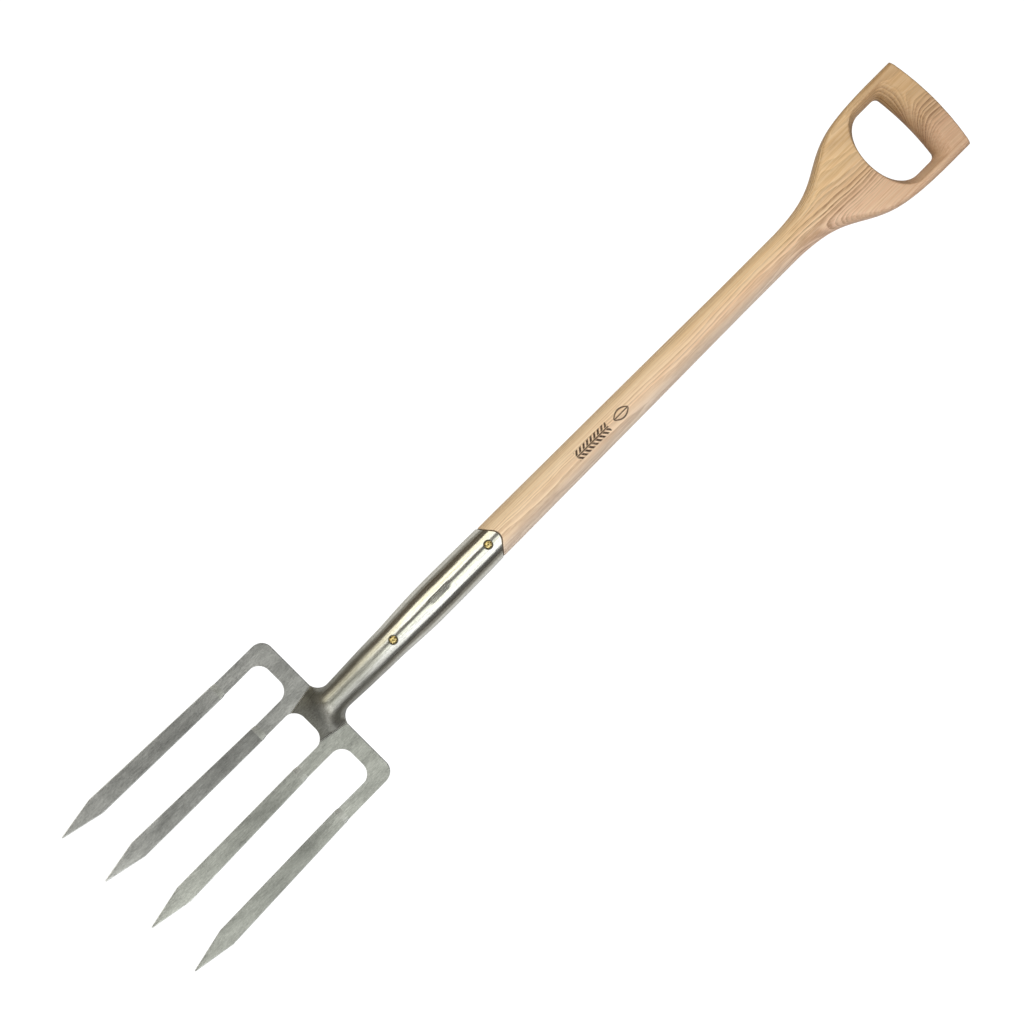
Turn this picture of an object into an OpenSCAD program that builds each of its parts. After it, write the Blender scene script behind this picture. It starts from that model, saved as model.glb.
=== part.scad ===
// Digging fork: a one-piece ash handle with a D grip, a forged steel socket with a tongued mouth,
// and a four-tined head made of two U-shaped yokes with a tine butt-welded to each stub.
// The fork lies on its back with its front face up.  X runs along the tool, tine points at -X and
// grip at +X; Y runs across it; Z is up.  The origin is the middle of its footprint, on the surface
// that it lies on.  Millimetres.

/* [Overall] */
// Length from the tine points to the top of the grip
total_len = 1140; // [1040:10:1240]
// Height of the shaft's axis above the surface that the fork lies on
axis_z = 21; // [21:0.5:24]

/* [Grip] */
// Width of the grip
grip_w = 115; // [105:1:125]
// Depth of the grip, front to back
grip_depth = 38; // [34:1:40]
// Length of the grip and its flare, down to the round shaft
flare_len = 206; // [200:1:220]
// Radius of the arched end of the grip
crown_r = 303; // [250:5:400]
// Edge radius of the grip
grip_edge_r = 6; // [3:0.5:8]
// Width of each arm beside the hand opening at its widest, half way through
arm_w = 15.5; // [14:0.5:18]
// Thickness of the crossbar at its deepest, half way through
crossbar_t = 36; // [32:1:42]
// Length of the straight part of the hand opening's sides
hand_straight = 27; // [15:1:30]
// Depth of the hand opening's half-elliptic lower end
hand_round = 28; // [20:1:34]

/* [Shaft] */
// Shaft diameter below the grip
shaft_top_d = 34.2; // [32:0.2:36]
// Shaft diameter half way along
shaft_mid_d = 36.3; // [34:0.1:38]
// Shaft diameter at the socket
shaft_low_d = 38.5; // [38:0.1:39]

/* [Socket] */
// Length from the tongue's tip to the head's top edge
socket_len = 243.5; // [236:0.5:260]
// Wall thickness of the socket
socket_wall = 2.5; // [2:0.1:3]
// Slope of the tongue's sides, from square across
tongue_slope = 40; // [30:1:50]
// Radius of the tongue's tip
tongue_r = 10; // [7:0.5:12]
// Radius of the fillets between the neck and the head's top edge
neck_fillet = 14; // [10:0.5:16]
// Length of the handle inside the socket
tenon_len = 195; // [180:1:200]

/* [Rivets] */
// Shank diameter of a rivet
rivet_d = 6; // [5:0.5:7]
// Head diameter of a rivet
rivet_head_d = 8.2; // [7.6:0.1:8.8]
// Diameter of the recess around a rivet's head
recess_d = 10.2; // [9.6:0.1:11]
// Depth of that recess
recess_depth = 1.5; // [1:0.1:1.6]
// Distance from the tongue's tip to the upper rivet
upper_rivet_at = 15.6; // [14:0.2:20]
// Distance between the two rivets
rivet_pitch = 134; // [120:1:140]

/* [Head] */
// Length of the head, from its top edge to the points
head_len = 283; // [260:1:300]
// Width of the head across its shoulders
head_w = 190.5; // [185:0.5:195]
// Radius of the shoulders
shoulder_r = 13; // [8:1:15]
// Distance from the head's top edge to the two outer slots
outer_slot_at = 17.6; // [15:0.2:20]
// Distance from the head's top edge to the centre slot
centre_slot_at = 25.6; // [23:0.2:28]
// Width of each slot between the tines
slot_w = 44; // [42:0.5:45]
// Corner radius at the closed end of each slot
slot_r = 14; // [10:0.5:18]
// Width of a stub, the yoke's part of a tine
stub_w = 15; // [14:0.5:16]
// Thickness of the head half way along
blade_t = 7.2; // [6:0.1:8]
// Radius of the head's curve, seen from the side
curve_r = 1200; // [1100:50:2000]
// Distance from the head's top edge to its lowest point, the heel
heel_at = 113; // [105:1:125]

/* [Tines] */
// Distance from the head's top edge to the welds at the tines' roots
weld_at = 66.6; // [60:0.2:72]
// Length of each weld
weld_len = 5; // [3:0.5:6]
// Width of a tine at its root
tine_root_w = 16.3; // [15:0.1:17]
// Width of a tine where its point begins
tine_end_w = 19.3; // [17:0.1:20]
// Length of a tine's point
point_len = 45; // [35:1:55]
// How far an inner tine leans outwards over its length
inner_lean = 3.4; // [1:0.1:4]
// How far an outer tine leans outwards over its length
outer_lean = 5.9; // [2:0.1:7]

/* [Hidden] */

// Places along the tool
grip_x = total_len / 2;
tip_x = -total_len / 2;
head_x = tip_x + head_len;
tongue_x = head_x + socket_len;
throat_x = grip_x - flare_len;
heel_x = head_x - heel_at;
upper_rivet_x = tongue_x - upper_rivet_at;
lower_rivet_x = upper_rivet_x - rivet_pitch;
weld_x = head_x - weld_at;
point_x = tip_x + point_len;

// Half sizes and centre lines across the tool
inner_y = (slot_w + stub_w) / 2;
outer_y = inner_y + slot_w + stub_w;
head_half = head_w / 2;
grip_half = grip_w / 2;

// Handle
hand_half = grip_half - arm_w;
hand_top_x = grip_x - crossbar_t;
hand_mid_x = hand_top_x - hand_straight;
hand_corner_r = 6;
hand_side_flare = 8;
crossbar_roll = 24;
// The flare is an S-curve about flare_mid below the grip's end, and complete at flare_end below it
flare_mid = 131.5;
flare_spread = 18.8;
flare_end = 40;
// The shaft is even down to shaft_top_x, then thickens to the socket
shaft_top_x = grip_x - 285;
shaft_mid_x = 150;
shoulder_depth = 20;

// Where a faceted form takes over from a round one, its facets clear the round by this much
joint_step = 0.15;
// How far two solids that become one run into each other
overlap = 4;

// Socket: outer radius at shares of the way from the tongue's tip down to the neck
SOCKET = [[0, 19.5], [0.12, 20.1], [0.29, 20.5], [0.47, 20.5], [0.56, 19.6],
          [0.67, 18.1], [0.78, 17.6], [0.91, 16.5], [1, 15.75]];
neck_r = SOCKET[len(SOCKET) - 1][1] - joint_step;
neck_x = head_x + neck_fillet + 2;
barrel_len = tongue_x - neck_x;
tenon_x = tongue_x - tenon_len;

// Foot: half its width at the head's top edge and where the centre slot cuts it off
foot_half_top = 24.8;
foot_half_low = 19.3;
foot_low_x = head_x - centre_slot_at - 6;
foot_end_x = foot_low_x - 4;
foot_weld_w = 1.6;
// The front of the neck starts to slope down to the foot this far below neck_x, over this length
foot_slope_at = 8;
foot_slope_len = 38;

// Head: the front's curve is set nearer the points than the back's, so that the head thins out
taper_shift = 18;
blade_reach = 130;
tip_w = 1.4;
tip_t = 1.6;
cut_h = 100;

ASH = [0.86, 0.71, 0.54];
STEEL = [0.60, 0.61, 0.58];
SOCKET_STEEL = [0.66, 0.65, 0.60];
WELD = [0.52, 0.53, 0.50];
BRASS = [0.79, 0.62, 0.24];

function mix(a, b, t) = a + (b - a) * t;
function clamp01(t) = max(0, min(1, t));
function smooth(t) = let (c = clamp01(t)) c * c * (3 - 2 * c);
function logistic(t) = 1 / (1 + exp(-t));

// Share of the flare reached at x: 0 in the round shaft, 1 at the grip's full width
function flare_curve(x) = logistic((x - grip_x + flare_mid) / flare_spread);
function flare(x) =
    let (low = flare_curve(throat_x), high = flare_curve(grip_x - flare_end))
    clamp01((flare_curve(x) - low) / (high - low));

// Ring of a rounded rectangle square to X, as 3-D points
function ring(x, middle_z, half_w, half_h, r, steps = 6) =
    [for (k = [0:3])
        let (sy = (k == 0 || k == 3) ? 1 : -1, sz = k < 2 ? 1 : -1)
        for (i = [0:steps - 1])
            let (a = 90 * k + 90 * (i + 0.5) / steps)
            [x, sy * (half_w - r) + r * cos(a), middle_z + sz * (half_h - r) + r * sin(a)]];

// Closed solid through a list of rings, each turning anticlockwise seen from the last of them
module loft(rings) {
    n = len(rings[0]);
    last = len(rings) - 1;
    sides = [for (i = [0:last - 1]) for (j = [0:n - 1])
        let (k = (j + 1) % n)
        [i * n + j, (i + 1) * n + j, (i + 1) * n + k, i * n + k]];
    first_cap = [for (j = [0:n - 1]) j];
    last_cap = [for (j = [n - 1:-1:0]) last * n + j];
    polyhedron(points = [for (r = rings) each r], faces = concat(sides, [first_cap], [last_cap]));
}

// Solid of revolution about the shaft's axis, from a list of [x, radius] and back along an inner one
module turned(profile) {
    translate([0, 0, axis_z])
        rotate([0, 90, 0])
            rotate_extrude($fn = 96)
                polygon([for (p = profile) [p[1], p[0]]]);
}

// ---- Handle ----

// Outline of the hand opening in plan, at share t of the way from mid-depth (0) to a face (1 or -1)
function hand_outline(t, z) =
    let (
        top = hand_top_x + crossbar_roll * (1 - sqrt(1 - t * t)),
        half = hand_half + hand_side_flare * t * t,
        low = hand_round + 2 * t * t,
        r = hand_corner_r,
        flat = half - r,
        corner_x = top - flat * flat / (2 * crown_r) - r
    )
    concat(
        [for (i = [0:6]) let (a = 90 - 15 * i) [corner_x + r * cos(a), flat + r * sin(a), z]],
        [for (j = [1:5]) let (y = flat * (1 - j / 3)) [top - y * y / (2 * crown_r), y, z]],
        [for (i = [0:6]) let (a = -15 * i) [corner_x + r * cos(a), -flat + r * sin(a), z]],
        [for (k = [0:20]) let (a = -90 - 9 * k) [hand_mid_x + low * cos(a), half * sin(a), z]]
    );

module hand_opening() {
    half = grip_depth / 2;
    levels = [for (a = [90:-15:-90]) sin(a)];
    loft(concat(
        [hand_outline(1, grip_depth + 1)],
        [for (t = levels) hand_outline(t, half * (1 + t))],
        [hand_outline(1, -1)]
    ));
}

module grip() {
    full_x = grip_x - flare_end;
    step = (full_x - throat_x) / 24;
    stations = concat([for (i = [0:24]) throat_x + step * i], [grip_x + 5]);
    start_r = shaft_top_d / 2 + 2 * joint_step;
    difference() {
        intersection() {
            loft([for (x = stations)
                let (
                    f = flare(x),
                    half_w = mix(start_r, grip_half, f),
                    half_h = mix(start_r, grip_depth / 2, smooth(2 * f)),
                    middle_z = mix(axis_z, grip_depth / 2, smooth(1.6 * f)),
                    r = mix(start_r, grip_edge_r, smooth(1.2 * f))
                )
                ring(x, middle_z, half_w, half_h, r)]);
            translate([grip_x - crown_r, 0, -1])
                cylinder(r = crown_r, h = grip_depth + 2, $fn = 360);
        }
        hand_opening();
    }
}

// Everything on the head's side of the socket's mouth
module tongue_region() {
    centre_x = tongue_x - tongue_r;
    touch_x = centre_x + tongue_r * cos(tongue_slope);
    touch_y = tongue_r * sin(tongue_slope);
    side_y = 30;
    side_x = touch_x - (side_y - touch_y) * tan(tongue_slope);
    translate([0, 0, axis_z - cut_h / 2])
        linear_extrude(height = cut_h) {
            translate([centre_x, 0])
                circle(r = tongue_r, $fn = 72);
            polygon([
                [touch_x, touch_y], [side_x, side_y], [head_x - blade_reach, side_y],
                [head_x - blade_reach, -side_y], [side_x, -side_y], [touch_x, -touch_y]
            ]);
        }
}

// Outer radius of the socket at x
function socket_r(x) = lookup((tongue_x - x) / barrel_len, SOCKET);

// Outline of the socket from its mouth down to low_x, set in by a wall, as [x, radius]
function socket_line(low_x, wall) = concat(
    [for (s = SOCKET) let (x = tongue_x - s[0] * barrel_len) if (x > low_x + 1) [x, s[1] - wall]],
    [[low_x, socket_r(low_x) - wall]]
);

module rivet_bore(x, r) {
    translate([x, 0, -1])
        cylinder(r = r, h = 2 * axis_z + 2, $fn = 48);
}

module handle() {
    shoulder_x = tongue_x - shoulder_depth;
    tenon = socket_line(tenon_x, socket_wall);
    color(ASH)
        difference() {
            union() {
                difference() {
                    turned([
                        [shoulder_x, 0], [throat_x + overlap, 0],
                        [throat_x + overlap, shaft_top_d / 2],
                        [shaft_top_x, shaft_top_d / 2], [shaft_mid_x, shaft_mid_d / 2],
                        [tongue_x, shaft_low_d / 2], [shoulder_x, shaft_low_d / 2]
                    ]);
                    tongue_region();
                }
                turned(concat(
                    [[tongue_x + overlap, 0], [tongue_x + overlap, tenon[0][1]]],
                    tenon,
                    [[tenon_x, 0]]
                ));
                grip();
            }
            rivet_bore(upper_rivet_x, rivet_d / 2);
            rivet_bore(lower_rivet_x, rivet_d / 2);
        }
}

// ---- Socket ----

// Height of the head's back at x
function back_z(x) = curve_r - sqrt(curve_r * curve_r - pow(x - heel_x, 2));
function front_z(x) =
    blade_t + curve_r - sqrt(curve_r * curve_r - pow(x - heel_x + taper_shift, 2));

// Half width of the neck: round, then a fillet out to the head's top edge
function neck_half(x) =
    let (d = min(neck_fillet - 0.15, max(0, head_x + neck_fillet - x)))
    neck_r + neck_fillet - sqrt(neck_fillet * neck_fillet - d * d);

// Ring of the neck and foot: round at the neck, a hill on a flat back at the foot
function neck_ring(x) =
    let (
        s = smooth((neck_x - x) / 24),
        half = x > head_x ? neck_half(x) : neck_r + neck_fillet,
        side_z = mix(axis_z, (back_z(x) + front_z(x)) / 2, s),
        crest_z = mix(axis_z + neck_r, front_z(x) + 1,
                      smooth((neck_x - foot_slope_at - x) / foot_slope_len)),
        low_z = mix(axis_z - neck_r, back_z(x), s),
        top_power = mix(1, 2.4, s),
        low_power = mix(1, 0.35, s)
    )
    [for (i = [0:31])
        let (a = 360 * (i + 0.5) / 32, h = abs(sin(a)))
        [x, half * cos(a), sin(a) > 0 ? side_z + (crest_z - side_z) * pow(h, top_power)
                                      : side_z - (side_z - low_z) * pow(h, low_power)]];

// Closed end of a slot between two tines, running out past the points
module slot(middle_y, at) {
    top_x = head_x - at;
    for (s = [-1, 1])
        translate([top_x - slot_r, middle_y + s * (slot_w / 2 - slot_r)])
            circle(r = slot_r, $fn = 72);
    translate([top_x - slot_r, middle_y - slot_w / 2 + slot_r])
        square([slot_r, slot_w - 2 * slot_r]);
    translate([top_x - head_len, middle_y - slot_w / 2])
        square([head_len - slot_r, slot_w]);
}

// Plan of the foot between the yokes, grown by a margin on each side
module foot_plan(margin) {
    slope = (foot_half_top - foot_half_low) / (head_x - foot_low_x);
    low_half = foot_half_top + margin - slope * (head_x - foot_end_x);
    polygon([
        [head_x, foot_half_top + margin], [foot_end_x, low_half],
        [foot_end_x, -low_half], [head_x, -foot_half_top - margin]
    ]);
}

module socket_tube() {
    cavity_x = tenon_x - 6;
    cavity = socket_line(cavity_x, socket_wall);
    difference() {
        turned(concat(
            [[tongue_x + overlap, 0], [tongue_x + overlap, SOCKET[0][1]]],
            socket_line(neck_x, 0),
            [[neck_x, 0]]
        ));
        turned(concat(
            [[tongue_x + 2 * overlap, 0], [tongue_x + 2 * overlap, cavity[0][1]]],
            cavity,
            [[cavity_x, 0]]
        ));
    }
}

module socket() {
    foot_stations = [for (i = [9:-1:1]) head_x - i * (head_x - foot_end_x) / 9];
    neck_stations = [for (d = [0.2, 1, 2.5, 4.5, 7, 10, 13, 16, 22]) head_x + d];
    trim = 60;
    color(SOCKET_STEEL)
        difference() {
            union() {
                intersection() {
                    socket_tube();
                    tongue_region();
                }
                difference() {
                    loft([for (x = concat(foot_stations, neck_stations)) neck_ring(x)]);
                    translate([0, 0, -overlap])
                        linear_extrude(height = cut_h)
                            difference() {
                                translate([head_x - trim, -trim])
                                    square([trim, 2 * trim]);
                                foot_plan(0);
                            }
                    translate([0, 0, -overlap])
                        linear_extrude(height = cut_h)
                            slot(0, centre_slot_at);
                }
            }
            for (x = [upper_rivet_x, lower_rivet_x]) {
                rivet_bore(x, rivet_d / 2);
                translate([x, 0, axis_z + socket_r(x) - recess_depth])
                    cylinder(d = recess_d, h = 10, $fn = 64);
                translate([x, 0, axis_z - socket_r(x) + recess_depth - 10])
                    cylinder(d = recess_d, h = 10, $fn = 64);
            }
        }
}

// ---- Head ----

// The curved, tapering thickness of the head, cut to the plan that is its child
module blade(lift = 0) {
    wide = 150;
    intersection() {
        difference() {
            translate([heel_x, wide, curve_r])
                rotate([90, 0, 0])
                    cylinder(r = curve_r, h = 2 * wide, $fn = 1080);
            translate([heel_x - taper_shift, wide + 1, curve_r + blade_t + lift])
                rotate([90, 0, 0])
                    cylinder(r = curve_r, h = 2 * wide + 2, $fn = 1080);
        }
        translate([0, 0, -overlap])
            linear_extrude(height = cut_h)
                children();
    }
}

// Plan of one yoke, on the side of the tool given by side
module yoke_plan(side) {
    edge_y = outer_y + stub_w / 2;
    corner = head_half - shoulder_r;
    scale([1, side])
        difference() {
            union() {
                translate([head_x - shoulder_r, corner])
                    circle(r = shoulder_r, $fn = 72);
                translate([head_x - shoulder_r, 0])
                    square([shoulder_r, corner]);
                polygon([
                    [weld_x, 0], [head_x - shoulder_r, 0],
                    [head_x - shoulder_r, head_half], [weld_x, edge_y]
                ]);
            }
            slot(inner_y + (slot_w + stub_w) / 2, outer_slot_at);
            slot(0, centre_slot_at);
            foot_plan(foot_weld_w);
        }
}

module yoke(side) {
    color(STEEL)
        blade()
            yoke_plan(side);
}

// Plan of a tine, from its weld to its point, about centre lines that start at root_y
module tine_plan(side, root_y, lean) {
    root_x = weld_x - weld_len;
    end_y = root_y + lean * (root_x - point_x) / (root_x - tip_x);
    tip_y = root_y + lean;
    scale([1, side])
        polygon([
            [root_x, root_y - tine_root_w / 2], [point_x, end_y - tine_end_w / 2],
            [tip_x, tip_y - tip_w / 2], [tip_x, tip_y + tip_w / 2],
            [point_x, end_y + tine_end_w / 2], [root_x, root_y + tine_root_w / 2]
        ]);
}

// A tine, with its back ground away towards the point
module tine(side, root_y, lean) {
    rise = front_z(tip_x) - tip_t - back_z(point_x);
    grind = atan(rise / point_len);
    color(STEEL)
        difference() {
            blade()
                tine_plan(side, root_y, lean);
            translate([point_x, -150, back_z(point_x)])
                rotate([0, grind, 0])
                    translate([-point_len * 2, 0, -40])
                        cube([point_len * 2, 300, 40]);
        }
}

// The welds between the stubs and the tines, ground nearly flush
module tine_welds() {
    color(WELD)
        blade()
            for (side = [-1, 1])
                for (y = [inner_y, outer_y])
                    scale([1, side])
                        polygon([
                            [weld_x, y - stub_w / 2], [weld_x - weld_len, y - tine_root_w / 2],
                            [weld_x - weld_len, y + tine_root_w / 2], [weld_x, y + stub_w / 2]
                        ]);
}

// The weld seams along both sides of the foot, a little proud of the yokes
module foot_welds() {
    color(WELD)
        blade(lift = 0.4)
            difference() {
                foot_plan(foot_weld_w);
                foot_plan(0);
                slot(0, centre_slot_at);
            }
}

// ---- Rivets ----

// A rivet through socket and handle, with a domed head in the recess at each end
module rivet(x) {
    r = socket_r(x);
    dome_r = 6;
    proud = 0.15;
    // The shank runs half way into each head
    shank_half = r - recess_depth / 2;
    color(BRASS)
        translate([x, 0, axis_z])
            union() {
                translate([0, 0, -shank_half])
                    cylinder(d = rivet_d, h = 2 * shank_half, $fn = 48);
                for (turn = [0, 180])
                    rotate([turn, 0, 0])
                        intersection() {
                            translate([0, 0, r - recess_depth])
                                cylinder(d = rivet_head_d, h = recess_depth + proud, $fn = 64);
                            translate([0, 0, r + proud - dome_r])
                                sphere(r = dome_r, $fn = 96);
                        }
            }
}

handle();
socket();
yoke(1);  // left_yoke
yoke(-1);  // right_yoke
tine(1, outer_y, outer_lean);  // outer_left_tine
tine(1, inner_y, inner_lean);  // inner_left_tine
tine(-1, inner_y, inner_lean);  // inner_right_tine
tine(-1, outer_y, outer_lean);  // outer_right_tine
tine_welds();
foot_welds();
rivet(upper_rivet_x);  // upper_rivet
rivet(lower_rivet_x);  // lower_rivet
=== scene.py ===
"""Digging fork, front face up on a pale floor: ash handle with a D grip, forged socket, welded steel head.

X runs along the tool (tine points at -X, grip at +X), Y across it and Z up.  Shapes are worked out
in millimetres, with the same dimensions as the CAD model, and stored in metres.
"""
import math

import bmesh
import bpy
import numpy as np
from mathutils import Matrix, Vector, noise


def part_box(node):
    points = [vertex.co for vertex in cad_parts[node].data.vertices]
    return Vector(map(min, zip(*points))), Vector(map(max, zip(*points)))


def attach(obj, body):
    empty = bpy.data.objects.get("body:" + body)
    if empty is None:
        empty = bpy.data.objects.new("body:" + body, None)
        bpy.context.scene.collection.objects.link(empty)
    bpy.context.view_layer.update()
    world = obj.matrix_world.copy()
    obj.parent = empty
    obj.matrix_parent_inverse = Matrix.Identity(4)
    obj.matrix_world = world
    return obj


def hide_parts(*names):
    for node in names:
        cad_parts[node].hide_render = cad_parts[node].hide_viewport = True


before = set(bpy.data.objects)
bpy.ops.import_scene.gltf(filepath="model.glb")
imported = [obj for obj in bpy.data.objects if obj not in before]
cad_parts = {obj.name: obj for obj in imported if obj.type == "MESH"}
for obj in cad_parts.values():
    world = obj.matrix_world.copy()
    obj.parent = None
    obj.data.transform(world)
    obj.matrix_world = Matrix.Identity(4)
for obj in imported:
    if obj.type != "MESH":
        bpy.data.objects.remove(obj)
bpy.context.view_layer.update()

MM = 0.001
ROOT = "root"


def box_mm(node):
    """A CAD node's lowest and highest corners in millimetres."""
    low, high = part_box(node)
    return [c / MM for c in low], [c / MM for c in high]


# ---------------------------------------------------------------- dimensions, in millimetres
HANDLE_LOW, HANDLE_HIGH = box_mm("handle")
SOCKET_HIGH = box_mm("socket")[1]
TINE_LOW, TINE_HIGH = box_mm("outer_left_tine")
YOKE_LOW, YOKE_HIGH = box_mm("left_yoke")

AXIS_Z = 21.0
GRIP_X = 570.0
TIP_X = TINE_LOW[0]
HEAD_X = YOKE_HIGH[0]
TONGUE_X = SOCKET_HIGH[0]
TENON_X = HANDLE_LOW[0]
WELD_X = YOKE_LOW[0]
TINE_X = TINE_HIGH[0]

# Grip and shaft
GRIP_HALF = HANDLE_HIGH[1]
GRIP_DEPTH = 38.0
FLARE_LEN = 206.0
FLARE_MID, FLARE_SPREAD, FLARE_END = 131.5, 18.8, 40.0
THROAT_X = GRIP_X - FLARE_LEN
CROWN_R, ARCH_LEN = 303.0, 60
GRIP_EDGE_R = 6.0
ARM_W = 15.5
CROSSBAR_T = 36.0
CROSSBAR_ROLL = 24.0
HAND_STRAIGHT = 27.0
HAND_ROUND = 28.0
HAND_CORNER_R = 6.0
HAND_FLARE = 8.0
SHAFT_TOP_R, SHAFT_MID_R, SHAFT_LOW_R = 17.1, 18.15, 19.25
SHAFT_TOP_X, SHAFT_MID_X = 285.0, 150.0
VOXEL = 1.1

# Socket
# share of the barrel's length from the tongue's tip, and outer radius there
SOCKET = [(0, 19.5), (0.12, 20.1), (0.29, 20.5), (0.47, 20.5), (0.56, 19.6),
          (0.67, 18.1), (0.78, 17.6), (0.91, 16.5), (1, 15.75)]
SOCKET_WALL = 2.5
MOUTH_R, MOUTH_BEVEL = SOCKET[0][1], 0.9
TONGUE_R, TONGUE_LEN = 10.0, 22
TONGUE_SLOPE = math.radians(40)
TONGUE_TOUCH = TONGUE_R * math.sin(TONGUE_SLOPE)
NECK_FILLET = 14.0
NECK_R = SOCKET[-1][1]
NECK_SPREAD, NECK_SPREAD_LEN, NECK_DROP_LEN = 3, 40, 24
NECK_X = HEAD_X + NECK_FILLET + 2
BARREL_LEN = TONGUE_X - NECK_X
SHOULDER_END_X, JOINT_GAP = TONGUE_X + 14, 0.05
CAVITY_X = TENON_X - 6
PATCH_X, PATCH_HALF_LEN, PATCH_HALF_W = TONGUE_X - 84, 13.0, 3.9
FOOT_HALF_TOP, FOOT_HALF_LOW = 24.8, 19.3
FOOT_WELD_W = 1.6
FOOT_SLOPE_AT, FOOT_SLOPE_LEN = 8.0, 38.0

# Rivets
RIVET_X = [(box_mm(n)[0][0] + box_mm(n)[1][0]) / 2 for n in ("upper_rivet", "lower_rivet")]
RIVET_R, RIVET_HEAD_R = 3.0, 4.1
RECESS_R, RECESS_DEPTH = 5.1, 1.5
CUTTER_HIGH = 80.0

# Head
HEAD_HALF = 95.25
SHOULDER_R = 13.0
OUTER_SLOT_AT, CENTRE_SLOT_AT = 17.6, 25.6
SLOT_W, SLOT_R = 44.0, 14.0
STUB_W = 15.0
BLADE_T = 7.2
CURVE_R = 1200.0
HEEL_X = HEAD_X - 113
TAPER_SHIFT = 18.0
INNER_Y = (SLOT_W + STUB_W) / 2
OUTER_Y = INNER_Y + SLOT_W + STUB_W
FOOT_LOW_X = HEAD_X - CENTRE_SLOT_AT - 6
FOOT_END_X = FOOT_LOW_X - 4

# Tines
TINE_ROOT_W, TINE_END_W, TIP_W, TIP_T = 16.3, 19.3, 1.4, 1.6
POINT_X = TIP_X + 45
INNER_LEAN, OUTER_LEAN = 3.4, 5.9

# Stage and camera, in metres: FRAME_W is the picture's width at the height FOCUS_Z
FLOOR_HALF, FLOOR_Z = 3.0, -0.0006
SOFTBOX_AWAY, SOFTBOX_HIGH_X = 1.8, 2.0
CAMERA_AT, CAMERA_TURN = (-0.0193, 0.0063, 3.0), math.radians(-45.03)
FRAME_W, FOCUS_Z = 1.0267, 0.02
SENSOR_W = 36

# Brightness of each piece of plate at the tines' roots, just below them, past half way and at the points: the
# yokes' even tone, and on the tines painted reflections of the lamps, lighter and darker along each tine and
# from tine to tine
PLATE_TONES_AND_PAINTED_REFLECTIONS = {"left_yoke": (0.42,) * 4, "right_yoke": (0.415,) * 4,
         "outer_left_tine": (0.415, 0.32, 0.37, 0.50), "inner_left_tine": (0.275, 0.28, 0.36, 0.53),
         "inner_right_tine": (0.41, 0.31, 0.43, 0.55), "outer_right_tine": (0.41, 0.295, 0.37, 0.42)}
# A painted tint of the lamps' light on the plates: neutral on the left, more olive on the right
PAINTED_LAMP_TINTS = {"left": (1.0, 1.0, 0.985), "right": (0.995, 1.01, 0.955)}


# ---------------------------------------------------------------- small helpers
def mix(a, b, t):
    return a + (b - a) * t


def smooth(t):
    t = min(1.0, max(0.0, t))
    return t * t * (3 - 2 * t)


def make_object(name, bm, replaced, materials):
    """Turns a bmesh in millimetres into a piece in metres that rides on the fork and stands for CAD nodes."""
    bmesh.ops.recalc_face_normals(bm, faces=bm.faces)
    bmesh.ops.scale(bm, vec=(MM, MM, MM), verts=bm.verts)
    mesh = bpy.data.meshes.new(name)
    bm.to_mesh(mesh)
    bm.free()
    piece = bpy.data.objects.new(name, mesh)
    bpy.context.collection.objects.link(piece)
    for material in materials:
        mesh.materials.append(material)
    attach(piece, ROOT)
    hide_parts(replaced)
    return piece


def soften(piece, angle=35):
    """Smooth shading, with edges sharper than the angle kept crisp."""
    bm = bmesh.new()
    bm.from_mesh(piece.data)
    for face in bm.faces:
        face.smooth = True
    for edge in bm.edges:
        edge.smooth = len(edge.link_faces) != 2 or edge.calc_face_angle(0) < math.radians(angle)
    bm.to_mesh(piece.data)
    bm.free()


def apply_modifiers(piece):
    bpy.context.view_layer.update()
    made = bpy.data.meshes.new_from_object(
        piece.evaluated_get(bpy.context.evaluated_depsgraph_get()))
    piece.modifiers.clear()
    old = piece.data
    piece.data = made
    bpy.data.meshes.remove(old)


def cut_away(piece, cutters):
    """Takes the cutters' solids, bmeshes in millimetres, out of the piece."""
    for bm in cutters:
        bmesh.ops.recalc_face_normals(bm, faces=bm.faces)
        bmesh.ops.scale(bm, vec=(MM, MM, MM), verts=bm.verts)
        mesh = bpy.data.meshes.new("cutter")
        bm.to_mesh(mesh)
        bm.free()
        cutter = bpy.data.objects.new("cutter", mesh)
        bpy.context.collection.objects.link(cutter)
        boolean = piece.modifiers.new("cut", "BOOLEAN")
        boolean.operation = "DIFFERENCE"
        boolean.solver = "EXACT"
        boolean.object = cutter
        apply_modifiers(piece)
        bpy.data.objects.remove(cutter)
        bpy.data.meshes.remove(mesh)


def loft(bm, rings, cap_first=True, cap_last=True):
    """Skins a list of rings of points, each an (n, 3) array, and returns the rings' vertices."""
    made = [[bm.verts.new(p) for p in ring] for ring in rings]
    count = len(made[0])
    for a, b in zip(made, made[1:]):
        for j in range(count):
            k = (j + 1) % count
            bm.faces.new((a[j], b[j], b[k], a[k]))
    if cap_first:
        bm.faces.new(made[0])
    if cap_last:
        bm.faces.new(list(reversed(made[-1])))
    return made


def prism(outline, low, high):
    """A bmesh of a plan outline [(x, y)] between two heights."""
    bm = bmesh.new()
    loft(bm, [[(x, y, z) for x, y in outline] for z in (low, high)])
    return bm


def arc(cx, cy, r, start, end, steps):
    """Points along an arc, angles in degrees."""
    angles = [math.radians(mix(start, end, i / steps)) for i in range(steps + 1)]
    return [(cx + r * math.cos(a), cy + r * math.sin(a)) for a in angles]


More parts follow.
